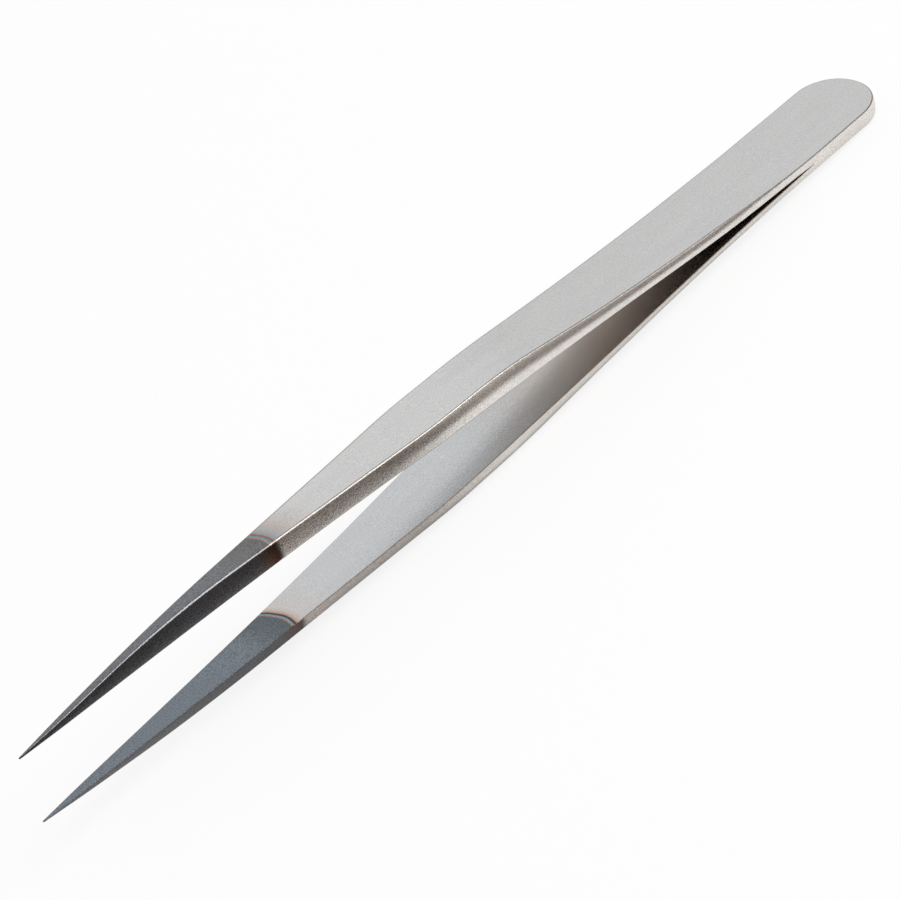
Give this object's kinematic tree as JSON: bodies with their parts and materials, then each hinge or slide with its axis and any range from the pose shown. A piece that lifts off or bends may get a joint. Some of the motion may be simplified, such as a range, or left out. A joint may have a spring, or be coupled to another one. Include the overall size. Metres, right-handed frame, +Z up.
{
  "type": "esd tweezers",
  "caption": "Fine-point steel tweezers for electronics work, lying at rest, with sprung arms welded at a rounded tail and dark coated needle points",
  "frame": {"origin": "middle of the footprint, on the surface that the tweezers lie on", "axes": "+X runs from the needle points to the welded tail, +Y is across the arms, +Z is up; the tweezers lie on the outer face of the lower arm, so their mid-plane dips 3.8 degrees towards the tail"},
  "size_m": [0.11, 0.0086, 0.012],
  "materials": {
    "satin_steel": "satin, glass-bead blasted and ground, points dark coated"
  },
  "bodies": {
    "root": {"upper_arm": "satin_steel", "lower_arm": "satin_steel"}
  },
  "joints": []
}
